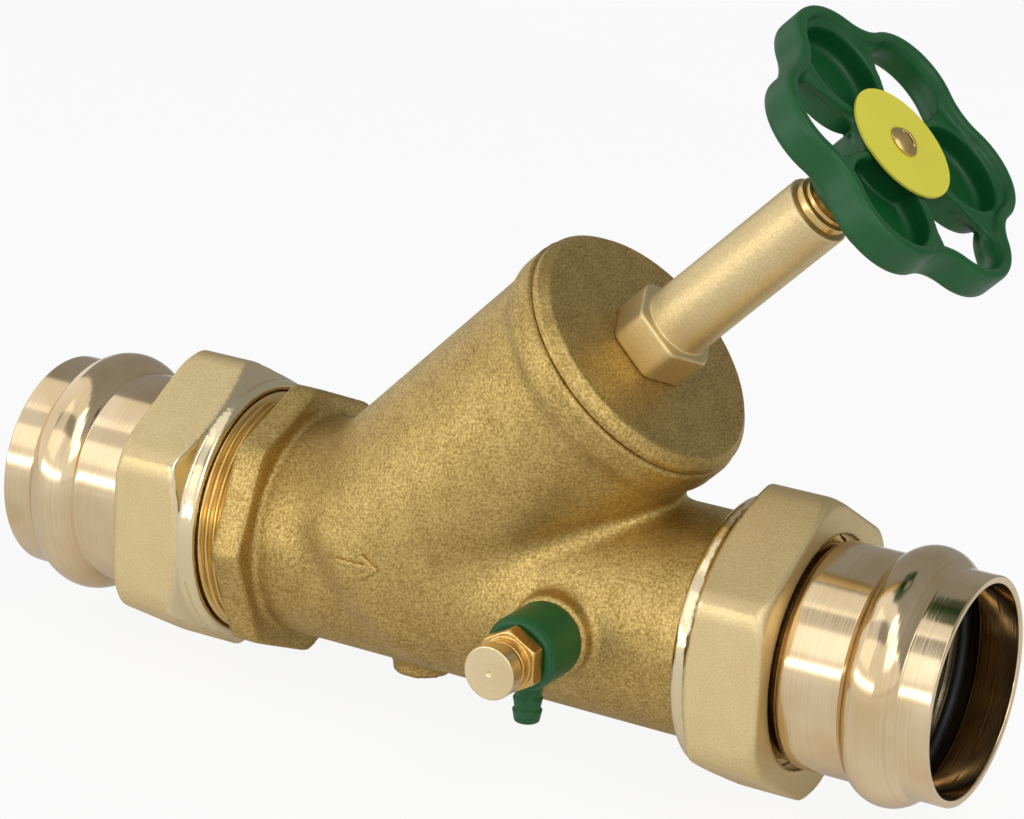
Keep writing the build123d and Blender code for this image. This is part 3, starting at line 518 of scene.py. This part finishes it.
def nutEnvelope(r, t):
    # turned collar with a bevelled rim, then the cone that cuts the hexagon's corners
    form = nutForm
    cone = r - form["collarRadius"] - np.maximum(t - form["collar"], 0) * form["coneSlope"]
    cone = cone / np.hypot(1, form["coneSlope"])
    collar = np.where(t < form["collar"], r - form["collarRadius"], cone)
    return softMax(collar, (r - t - form["collarRadius"] + form["collarBevel"]) * slant, form["bevelRound"])


def nutField(u, v, t):
    # hexagon with rounded corners inside that envelope, less the bore and the smaller hole through the lip
    form = nutForm
    r = np.hypot(u, v)
    hexagon = softMax(folded(u, v, 6) - form["flat"], r - form["corner"], form["cornerRound"])
    hexagon = softMax(hexagon, t - form["length"], form["faceRound"])
    bevel = (r + t - form["corner"] - form["length"] + form["edge"]) * slant
    hexagon = softMax(hexagon, bevel, form["edgeRound"])
    nut = softMax(softMax(hexagon, nutEnvelope(r, t), form["coneRound"]), -t, form["mouthRound"])
    hole = np.where(t < form["lip"], form["bore"], form["lipRadius"]) - r
    hole = np.maximum(hole, (form["bore"] + form["leadIn"] - t - r) * slant)
    return softMax(nut, hole, form["mouthRound"])


for end, faceX, facing in ends:
    points, faces = fieldSurface(nutField, *nutForm["box"], nutForm["step"])
    r, t = np.hypot(points[:, 0], points[:, 1]), points[:, 2]
    hexagon = folded(points[:, 0], points[:, 1], 6) - nutForm["flat"]
    outside = ramp(nutEnvelope(r, t) - hexagon, *nutForm["markSpan"])
    inBore = ramp(nutForm["turnedWithin"] - r, 0, nutForm["boreMark"])
    turned = np.maximum(outside, inBore) * (t < nutForm["turnedTo"])
    backFrom = unionForm["gasketThick"] + unionForm["flangeThick"] - nutForm["lip"]
    place = pipeFrame(faceX + facing * backFrom, facing)
    addPiece("unionNut" + end.title(), (points, faces), place, castNut, "valve",
             ["union_nut_" + end], marks={"turned": turned})

# press tails and their seals
tailForm = {
    "waterway": 25.0, "flange": 31.25, "neck": 28.0, "neckTop": 10.65, "slope": 1.3, "socket": 27.15,
    "sleeve": 29.15, "length": 51.5, "depth": 40.0, "beadFromMouth": 16.2, "beadHalf": 7.4, "beadRise": 3.9,
    "wall": 2.0, "edge": 0.5, "around": 192}
sealForm = {"inner": 27.53, "cord": 3.4, "around": 128}


def beadArc(radius, rise, half, middle, steps=18):
    # arc of a circle through both feet and the top of the bead
    circle = (half ** 2 + rise ** 2) / (2 * rise)
    angle = np.linspace(-1, 1, steps) * np.arcsin(half / circle)
    return np.stack([radius + rise - circle + circle * np.cos(angle), middle + circle * np.sin(angle)], 1)


def tailProfile(form):
    # closed line: flange and neck, sleeve with its bead, mouth, and back through the socket to the waterway
    middle = form["length"] - form["beadFromMouth"]
    outside = beadArc(form["sleeve"], form["beadRise"], form["beadHalf"], middle)
    inside = beadArc(form["socket"], form["beadRise"], form["beadHalf"] - form["wall"], middle)[::-1]
    stop = form["length"] - form["depth"]
    flangeTop = unionForm["flangeThick"]
    foot = [
        (form["waterway"], 0), (form["flange"], 0), (form["flange"], flangeTop), (form["neck"], flangeTop),
        (form["neck"], form["neckTop"]), (form["sleeve"], form["neckTop"] + form["slope"])]
    mouth = [(form["sleeve"], form["length"]), (form["socket"], form["length"])]
    return np.concatenate([foot, outside, mouth, inside, [(form["socket"], stop), (form["waterway"], stop)]])


def sealProfile(inner, cord, middle, steps=24):
    # circle of the cord's section
    angle = np.arange(steps) * 2 * np.pi / steps
    return np.stack([inner + cord / 2 + cord / 2 * np.cos(angle), middle + cord / 2 * np.sin(angle)], 1)


for end, faceX, facing in ends:
    place = pipeFrame(faceX + facing * unionForm["gasketThick"], facing)
    tail = turnedSurface(rounded(tailProfile(tailForm), tailForm["edge"]), tailForm["around"])
    addPiece("pressTail" + end.title(), tail, place, gunmetal, "valve",
             ["press_tail_" + end], recalc=True)
    beadMiddle = tailForm["length"] - tailForm["beadFromMouth"]
    seal = turnedSurface(sealProfile(sealForm["inner"], sealForm["cord"], beadMiddle), sealForm["around"])
    addPiece("pressSeal" + end.title(), seal, place, blackRubber, "valve",
             ["press_seal_" + end], recalc=True)

# bonnet cover: rim, chamfer and flat face, with the spigot and guide sleeve below
coverForm = {"edge": 0.6, "around": 192, "profile": [
    (14.0, 46.0), (19.0, 46.0), (19.0, 80.0), (30.9, 80.0), (30.9, 93.05), (34.4, 93.05), (34.9, 93.6),
    (34.9, 95.3), (32.55, 97.65), (10.0, 97.65), (10.0, 84.0), (14.0, 84.0)]}
addPiece("bonnetCover", turnedShape(coverForm), bonnetFrame, castBody, "valve",
         ["bonnet_cover"], recalc=True)

# headwork: hexagon and long neck
headForm = {
    "foot": (86.0, 100.0), "neckFrom": 95.0, "face": 97.65, "hexTop": 108.25, "top": 159.0, "thread": 9.95,
    "neck": 9.25, "neckEdge": 0.6, "hexFlat": 11.0, "hexCorner": 12.4, "hexEdge": 0.8, "hexBevel": 12.0,
    "bevelEdge": 0.4, "bore": 5.05, "thrustPocket": (7.0, 96.0), "glandBore": (7.05, 151.0),
    "box": ((-13.3, -13.3, 85.0), (13.3, 13.3, 160.0)), "step": 0.55}


def headworkField(u, v, t):
    # foot, hexagon with bevelled corners and plain neck, less the bore, thrust pocket and gland bore
    form = headForm
    r = np.hypot(u, v)
    (pocket, pocketTop), (gland, glandFrom) = form["thrustPocket"], form["glandBore"]
    foot = np.maximum(r - form["thread"], beyond(t, *form["foot"]))
    neck = np.maximum(softMax(r - form["neck"], t - form["top"], form["neckEdge"]), form["neckFrom"] - t)
    hexagon = softMax(folded(u, v, 6) - form["hexFlat"], r - form["hexCorner"], form["hexEdge"])
    bevel = (r + t - form["hexBevel"] - form["hexTop"]) * slant
    hexagon = softMax(softMax(hexagon, t - form["hexTop"], form["hexEdge"]), bevel, form["bevelEdge"])
    solid = np.minimum(np.minimum(foot, neck), np.maximum(hexagon, form["face"] - t))
    hollow = np.minimum(np.maximum(r - pocket, t - pocketTop), np.maximum(r - gland, glandFrom - t))
    return np.maximum(solid, -np.minimum(r - form["bore"], hollow))


headShape = fieldSurface(headworkField, *headForm["box"], headForm["step"])
addPiece("headworkNeck", headShape, bonnetFrame, blastedNeck, "valve", ["headwork"])
glandForm = {"edge": 0.4, "around": 96, "profile": [
    (5.05, 151.05), (7.0, 151.05), (7.0, 159.0), (7.9, 159.0), (7.9, 161.4), (5.05, 161.4)]}
addPiece("glandBush", turnedShape(glandForm), bonnetFrame, stemBrass, "valve",
         ["gland_bush"], recalc=True)

# handwheel
wheelForm = {
    "radius": 39.9, "waist": 33.9, "lobeArc": 15.5, "back": 179.0, "front": 189.0, "rim": 3.2,
    "rimRound": 2.0, "rimEdge": 2.2, "webTop": 186.0, "webThick": 2.4, "webIn": 1.5, "webEdge": 0.8,
    "webBlend": 1.6, "pocketAt": 22.8, "pocket": 12.2, "pocketWall": 1.6, "pocketFloor": 179.5,
    "floorThick": 2.0, "pocketRound": 2.2, "pocketSide": 0.8, "pocketEdge": 1.0, "cupRound": 1.5,
    "cupIn": 0.8, "cupBlend": 1.2, "windowHalf": 22.5, "windowRound": 4.0, "windowRim": 3.0, "hub": 10.0,
    "hubFoot": 165.5, "hubEdge": 1.0, "hubBlend": 1.5, "land": 13.2, "landTop": 186.6, "landEdge": 0.6,
    "landBlend": 1.2, "skirtFrom": 2.0, "skirtSlope": 0.6, "skirtEdge": 1.0, "square": 3.55,
    "squareSpan": (168.0, 184.0), "stemHole": 5.05, "screwHole": 2.05,
    "box": ((-41.2, -41.2, 164.5), (41.2, 41.2, 190.0)), "step": 0.65}


def lobedDistance(u, v, form):
    # distance to the outline of tangent arcs: convex on the lobe, hollow on the waist, sixfold
    half = np.pi / 6
    centre = form["radius"] - form["lobeArc"]
    swing = centre * np.cos(half)
    waistArc = form["lobeArc"] ** 2 - centre ** 2 - form["waist"] ** 2 + 2 * form["waist"] * swing
    waistArc = waistArc / (2 * (form["waist"] - swing - form["lobeArc"]))
    r, angle = np.hypot(u, v), np.abs(np.mod(np.arctan2(v, u) + half, 2 * half) - half)
    a, b = r * np.cos(angle), r * np.sin(angle)
    waistA, waistB = (form["waist"] + waistArc) * np.cos(half), (form["waist"] + waistArc) * np.sin(half)
    onLobe = (a - centre) * waistB - b * (waistA - centre) > 0
    lobe, hollow = np.hypot(a - centre, b) - form["lobeArc"], waistArc - np.hypot(a - waistA, b - waistB)
    return np.where(onLobe, lobe, hollow)


def handwheelField(u, v, t):
    # rounded rim, thin web with three windows, three cups sunk in the web, hub with a square hole
    form = wheelForm
    outline = lobedDistance(u, v, form)
    r, angle = np.hypot(u, v), np.arctan2(v, u)
    rim = softMax(outline, -outline - form["rim"], form["rimRound"])
    rim = softMax(rim, beyond(t, form["back"], form["front"]), form["rimEdge"])
    web = np.maximum(outline + form["webIn"], beyond(t, form["webTop"] - form["webThick"], form["webTop"]))
    third = 2 * np.pi / 3
    fromWindow = np.abs(np.mod(angle + third, third) - third / 2)
    windowSide = r * np.sin(np.clip(fromWindow - np.radians(form["windowHalf"]), -1.5, 1.5))
    window = softMax(windowSide, form["land"] - r, form["windowRound"])
    window = softMax(window, outline + form["rim"], form["windowRim"])
    web = softMax(web, -window, form["webEdge"])
    fromPocket = np.mod(angle + third / 2, third) - third / 2
    pocketRound = np.hypot(r * np.cos(fromPocket) - form["pocketAt"], r * np.sin(fromPocket))
    cupFoot = form["pocketFloor"] - form["floorThick"] - t
    cup = softMax(pocketRound - form["pocket"] - form["pocketWall"], cupFoot, form["cupRound"])
    cup = np.maximum(np.maximum(cup, t - form["webTop"]), outline + form["cupIn"])
    wheel = softMin(softMin(rim, web, form["webBlend"]), cup, form["cupBlend"])
    hub = softMax(r - form["hub"], form["hubFoot"] - t, form["hubEdge"])
    hub = np.maximum(hub, t - form["webTop"])
    land = softMax(r - form["land"], t - form["landTop"], form["landEdge"])
    skirt = form["back"] + form["skirtFrom"] - t + form["skirtSlope"] * (r - form["hub"])
    land = softMax(land, skirt, form["skirtEdge"])
    wheel = softMin(wheel, softMin(hub, land, form["hubBlend"]), form["landBlend"])
    pocket = softMax(pocketRound - form["pocket"], form["pocketFloor"] - t, form["pocketRound"])
    pocket = softMax(pocket, form["land"] - r, form["pocketSide"])
    wheel = softMax(wheel, -pocket, form["pocketEdge"])
    hole = np.maximum(np.maximum(np.abs(u), np.abs(v)) - form["square"], beyond(t, *form["squareSpan"]))
    hole = np.minimum(hole, np.maximum(r - form["stemHole"], t - form["squareSpan"][0]))
    return np.maximum(wheel, -np.minimum(hole, r - form["screwHole"]))


wheelShape = fieldSurface(handwheelField, *wheelForm["box"], wheelForm["step"])
addPiece("handwheelMoulding", wheelShape, bonnetFrame, greenMoulded, "wheel", ["handwheel"])
discForm = {"edge": 0.25, "around": 160, "profile": [
    (2.05, 186.6), (15.55, 186.6), (15.55, 187.5), (2.05, 187.5)]}
addPiece("wheelDisc", turnedShape(discForm), bonnetFrame, yellowMoulded, "wheel",
         ["wheel_disc"], recalc=True)
screwForm = {
    "dome": 5.233, "domeAt": 184.667, "head": 4.35, "headFrom": 187.5, "headEdge": 0.2, "rimEdge": 0.3,
    "shank": 2.0, "shankSpan": (175.5, 188.0), "slotHalf": 0.5, "slotFloor": 188.9, "slotEdge": 0.2,
    "box": ((-4.9, -4.9, 175.0), (4.9, 4.9, 190.4)), "step": 0.24}


def wheelScrewField(u, v, t):
    # dome of a sphere over a plain shank, with a straight slot
    form = screwForm
    r = np.hypot(u, v)
    dome = softMax(np.hypot(r, t - form["domeAt"]) - form["dome"], form["headFrom"] - t, form["headEdge"])
    shank = np.maximum(r - form["shank"], beyond(t, *form["shankSpan"]))
    slot = np.maximum(np.abs(v) - form["slotHalf"], form["slotFloor"] - t)
    screw = np.minimum(softMax(dome, r - form["head"], form["rimEdge"]), shank)
    return softMax(screw, -slot, form["slotEdge"])


screwShape = fieldSurface(wheelScrewField, *screwForm["box"], screwForm["step"])
addPiece("wheelScrew", screwShape, bonnetFrame, stemBrass, "wheel", ["wheel_screw"])

# drain cock
drainForm = {
    "port": 41.7, "portHole": 1.5, "spigot": 5.5, "spigotSpan": (24.5, 36.0), "neck": 7.0,
    "neckSpan": (34.7, 49.5), "portGroove": 6.25, "sealGroove": 5.4, "sealHalf": 0.8, "sealFromPort": 4.2,
    "grooveSplit": 2.0, "hexFlat": 7.5, "hexSpan": (48.7, 53.7), "hexBevel": 7.9, "hexEdge": 0.3,
    "collar": 6.4, "collarSpan": (50.0, 56.5), "collarEdge": 0.4, "way": 2.0, "bore": 4.0, "boreFrom": 36.7,
    "box": ((-9.2, -9.2, 23.8), (9.2, 9.2, 57.2)), "step": 0.35}


def drainBodyField(u, v, t):
    # spigot, neck with seal grooves and port groove, hexagon with bevelled corners, collar,
    # less the bore and the cross ports
    form = drainForm
    r = np.hypot(u, v)
    fromPort = np.abs(t - form["port"])
    spigot = np.maximum(r - form["spigot"], beyond(t, *form["spigotSpan"]))
    neck = np.maximum(r - form["neck"], beyond(t, *form["neckSpan"]))
    fromSeal = np.abs(fromPort - form["sealFromPort"])
    groove = np.minimum(fromPort - form["portHole"], fromSeal - form["sealHalf"])
    grooveRadius = np.where(fromPort < form["grooveSplit"], form["portGroove"], form["sealGroove"])
    neck = np.maximum(neck, -np.maximum(groove, grooveRadius - r))
    hexEnds = beyond(t, *form["hexSpan"])
    hexagon = softMax(folded(v, u, 6) - form["hexFlat"], hexEnds, form["hexEdge"])
    hexagon = softMax(hexagon, (r + hexEnds - form["hexBevel"]) * slant, form["hexEdge"])
    collarFrom, collarTo = form["collarSpan"]
    collar = np.maximum(softMax(r - form["collar"], t - collarTo, form["collarEdge"]), collarFrom - t)
    solid = np.minimum(np.minimum(spigot, neck), np.minimum(hexagon, collar))
    hollow = np.minimum(r - form["way"], np.maximum(r - form["bore"], form["boreFrom"] - t))
    ports = np.minimum(np.hypot(u, t - form["port"]), np.hypot(v, t - form["port"])) - form["portHole"]
    return np.maximum(np.maximum(solid, -hollow), -ports)


drainShape = fieldSurface(drainBodyField, *drainForm["box"], drainForm["step"])
addPiece("drainBody", drainShape, drainFrame, drainBrass, "valve", ["drain_body"])
spoutForm = {
    "bore": 7.1, "ring": 9.9, "ringSpan": (33.8, 48.4), "ringEdge": 0.7, "taper": 1.0, "taperLength": 2.0,
    "reach": 19.4, "tail": 3.2, "tailFrom": 8.0, "tailEdge": 0.4, "tailBlend": 0.8, "tailSlope": 0.95,
    "barb": 0.6, "barbs": 3, "pitch": 3.2, "way": 2.1, "wayFrom": 6.0,
    "box": ((-10.9, -20.4, 33.0), (10.9, 10.9, 49.2)), "step": 0.36}


def drainSpoutField(u, v, t):
    # swivel ring, narrower at its front, with a hose tail whose radius rises and falls in three saw teeth
    form = spoutForm
    r = np.hypot(u, v)
    taperFrom = form["ringSpan"][1] - form["taperLength"]
    front = form["ring"] - form["taper"] * np.clip((t - taperFrom) / form["taperLength"], 0, 1)
    ringSolid = softMax(r - front, beyond(t, *form["ringSpan"]), form["ringEdge"])
    down, roundTail = -v, np.hypot(u, t - drainForm["port"])
    start = form["reach"] - form["barbs"] * form["pitch"]
    tooth = 1 - np.mod(down - start, form["pitch"]) / form["pitch"]
    tailRadius = form["tail"] + np.where(down > start, form["barb"] * tooth, 0)
    tail = softMax((roundTail - tailRadius) * form["tailSlope"], down - form["reach"], form["tailEdge"])
    tail = np.maximum(tail, form["tailFrom"] - down)
    solid = softMin(ringSolid, tail, form["tailBlend"])
    solid = np.maximum(solid, form["bore"] - r)
    return np.maximum(solid, -np.maximum(roundTail - form["way"], form["wayFrom"] - down))


spoutShape = fieldSurface(drainSpoutField, *spoutForm["box"], spoutForm["step"])
addPiece("drainSpout", spoutShape, drainFrame, greenMoulded, "spout", ["drain_spout"])
spindleForm = {"edge": 0.3, "around": 120, "profile": [
    (0.0, 38.2), (3.4, 38.2), (3.4, 39.2), (2.2, 39.2), (2.2, 44.2), (3.95, 44.2), (3.95, 45.2), (2.45, 45.2),
    (2.45, 46.7), (3.95, 46.7), (3.95, 57.9), (6.9, 57.9), (6.9, 62.3), (0.7, 62.3), (0.0, 61.7)]}
addPiece("drainSpindle", turnedShape(spindleForm), drainFrame, faceBrass, "drain_spindle",
         ["drain_spindle"], recalc=True)

# every CAD node gets the finish of its slot
finishes = {
    "turned_brass": stemBrass, "black_rubber": blackRubber, "white_ptfe": whiteMoulded,
    "cast_brass": castBody, "gunmetal": gunmetal, "green_plastic": greenMoulded,
    "yellow_plastic": yellowMoulded}
for row in frame["record"]["subparts"]:
    node = nodes[row["node"]]
    node.data.materials.clear()
    node.data.materials.append(finishes[row["material_slot"]])
print("finishes set on", len(nodes), "nodes")

# floor, white to the camera, with its shadow kept faint
floorForm = {
    "size": 6.0, "drop": 0.0006, "colour": "#f2f2f2", "roughness": 0.9, "glow": 1.0, "cameraShare": 0.9,
    "mirrorShare": 0.2}
white = (1, 1, 1, 1)


def newSheet(name, corners, material):
    mesh = bpy.data.meshes.new(name)
    mesh.from_pydata(corners, [], [(0, 1, 2, 3)])
    mesh.materials.append(material)
    sheet = bpy.data.objects.new(name, mesh)
    bpy.context.scene.collection.objects.link(sheet)
    return sheet


paper = bpy.data.materials.new("whitePaperFloor")
paper.use_nodes = True
paperTree = paper.node_tree
paperShader = paperTree.nodes["Principled BSDF"]
paperShader.inputs["Base Color"].default_value = linear(floorForm["colour"])
paperShader.inputs["Roughness"].default_value = floorForm["roughness"]
paperRay = addNode(paperTree, "ShaderNodeLightPath", {}, {}).outputs
paperGlow = addNode(paperTree, "ShaderNodeEmission", {}, {"Color": white, "Strength": floorForm["glow"]})
paperSeen = calculated(paperTree, "MAXIMUM", paperRay["Is Glossy Ray"], paperRay["Is Transmission Ray"])
paperMirrored = calculated(paperTree, "MULTIPLY", paperSeen, floorForm["mirrorShare"])
paperShare = calculated(
    paperTree, "MULTIPLY_ADD", paperRay["Is Camera Ray"], floorForm["cameraShare"], paperMirrored)
paperMix = mixedShader(paperTree, paperShare, paperShader.outputs[0], paperGlow.outputs[0])
paperTree.links.new(paperMix, paperTree.nodes["Material Output"].inputs["Surface"])
half = floorForm["size"] / 2
floorZ = cadLow.z - floorForm["drop"]
floorCorners = [(-half, -half, floorZ), (half, -half, floorZ), (half, half, floorZ), (-half, half, floorZ)]
floor = newSheet("studioFloor", floorCorners, paper)

# room light, and a white backdrop for the camera and for reflections
roomForm = {"light": 0.42, "backdrop": 1.0}
world = bpy.data.worlds.new("studioRoom")
bpy.context.scene.world = world
world.use_nodes = True
roomTree = world.node_tree
roomTree.nodes.clear()
roomRay = addNode(roomTree, "ShaderNodeLightPath", {}, {}).outputs
room = addNode(roomTree, "ShaderNodeBackground", {}, {"Color": white, "Strength": roomForm["light"]})
backdrop = addNode(roomTree, "ShaderNodeBackground", {}, {"Color": white, "Strength": roomForm["backdrop"]})
roomSeen = calculated(roomTree, "MAXIMUM", roomRay["Is Glossy Ray"], roomRay["Is Transmission Ray"])
roomShare = calculated(roomTree, "MAXIMUM", roomRay["Is Camera Ray"], roomSeen)
roomMix = mixedShader(roomTree, roomShare, room.outputs[0], backdrop.outputs[0])
addNode(roomTree, "ShaderNodeOutputWorld", {}, {"Surface": roomMix})

# grey cards that only reflections meet, for the darker bands in the metal:
# place from the middle of the valve and size, both in metres
cards = {"cardBack": ((0.1, 0.20, 0.20), (2.2, 0.8)), "cardHigh": ((-0.1, -0.75, 0.95), (2.6, 0.40))}
cardGlow = 0.32
middle = (cadLow + cadHigh) / 2
greyCard = bpy.data.materials.new("greyCard")
greyCard.use_nodes = True
cardTree = greyCard.node_tree
cardTree.nodes.remove(cardTree.nodes["Principled BSDF"])
cardRay = addNode(cardTree, "ShaderNodeLightPath", {}, {}).outputs
cardClear = addNode(cardTree, "ShaderNodeBsdfTransparent", {}, {})
cardGrey = addNode(cardTree, "ShaderNodeEmission", {}, {"Color": white, "Strength": cardGlow})
cardMix = mixedShader(cardTree, cardRay["Is Glossy Ray"], cardClear.outputs[0], cardGrey.outputs[0])
cardTree.links.new(cardMix, cardTree.nodes["Material Output"].inputs["Surface"])
for name, (offset, size) in cards.items():
    centre, facing = np.array(middle) + offset, -np.array(offset) / np.linalg.norm(offset)
    across = np.cross((0, 0, 1), facing)
    across = across / np.linalg.norm(across) * size[0] / 2
    upward = np.cross(facing, across) / np.linalg.norm(across) * size[1] / 2
    lower, upper = centre - upward, centre + upward
    card = newSheet(name, [lower - across, lower + across, upper + across, upper - across], greyCard)

# softboxes, which aim at the middle of the valve: place from it and size in metres, watts
softboxes = {
    "keyLeft": ((-0.55, -0.75, 0.75), (1.0, 1.0), 1.6), "topRight": ((0.75, -0.40, 0.70), (1.0, 1.0), 5.5),
    "frontStrip": ((-0.40, -1.0, 0.08), (1.6, 0.09), 2.5)}
for name, (offset, size, watts) in softboxes.items():
    lamp = bpy.data.lights.new(name, "AREA")
    lamp.shape = "RECTANGLE"
    lamp.size, lamp.size_y, lamp.energy = size[0], size[1], watts
    holder = bpy.data.objects.new(name, lamp)
    bpy.context.scene.collection.objects.link(holder)
    spot = middle + Vector(offset)
    holder.location = spot
    holder.rotation_euler = (middle - spot).to_track_quat("-Z", "Y").to_euler()

# camera: place in metres and its own three axes, as fitted to the photo
cameraForm = {
    "lens": 126.9, "sensor": 36.0, "place": (0.56778, -0.76814, 0.33790), "right": (0.8641, 0.5006, 0.0522),
    "up": (-0.2019, 0.2497, 0.9471), "back": (0.4611, -0.8289, 0.3168)}
camera = bpy.data.cameras.new("photoCamera")
camera.lens = cameraForm["lens"]
camera.sensor_width = cameraForm["sensor"]
cameraHolder = bpy.data.objects.new("photoCamera", camera)
bpy.context.scene.collection.objects.link(cameraHolder)
columns = [cameraForm[key] for key in ("right", "up", "back", "place")]
cameraHolder.matrix_world = Matrix([[column[i] for column in columns] for i in range(3)] + [[0, 0, 0, 1]])
bpy.context.scene.camera = cameraHolder
bpy.context.scene.view_settings.view_transform = "Standard"
print("stage set")
